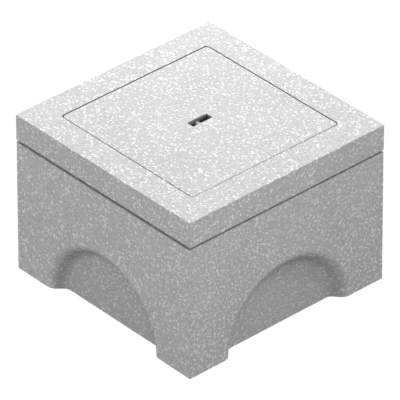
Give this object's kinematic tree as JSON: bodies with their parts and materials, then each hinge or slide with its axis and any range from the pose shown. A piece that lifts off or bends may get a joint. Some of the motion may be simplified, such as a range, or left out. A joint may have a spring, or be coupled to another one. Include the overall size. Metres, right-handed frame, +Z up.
{
  "type": "concrete inspection box",
  "caption": "Square cast concrete inspection box, open below, with arched blind niches in its sides, a cover frame and a lift-out lid with a lifting bar across its slot.",
  "frame": {"origin": "middle of the square footprint, at the level of the ground it stands on", "axes": "+Z up through the lid; +X and +Y square to the sides, with the lifting slot along Y and its bar along X"},
  "size_m": [0.3218, 0.3218, 0.228],
  "materials": {
    "concrete": "smooth cast concrete, matte, light grey with fine white grains",
    "galvanised_steel": "dull hot-dip galvanised"
  },
  "bodies": {
    "box": {"base": "concrete", "cover_frame": "concrete"},
    "lid": {"lid": "concrete", "lifting_bar": "galvanised_steel"}
  },
  "joints": [
    {"name": "lid_lift", "type": "slide", "parent": "box", "child": "lid", "axis": [0, 0, 1], "range_m": [0, 0.08]}
  ]
}
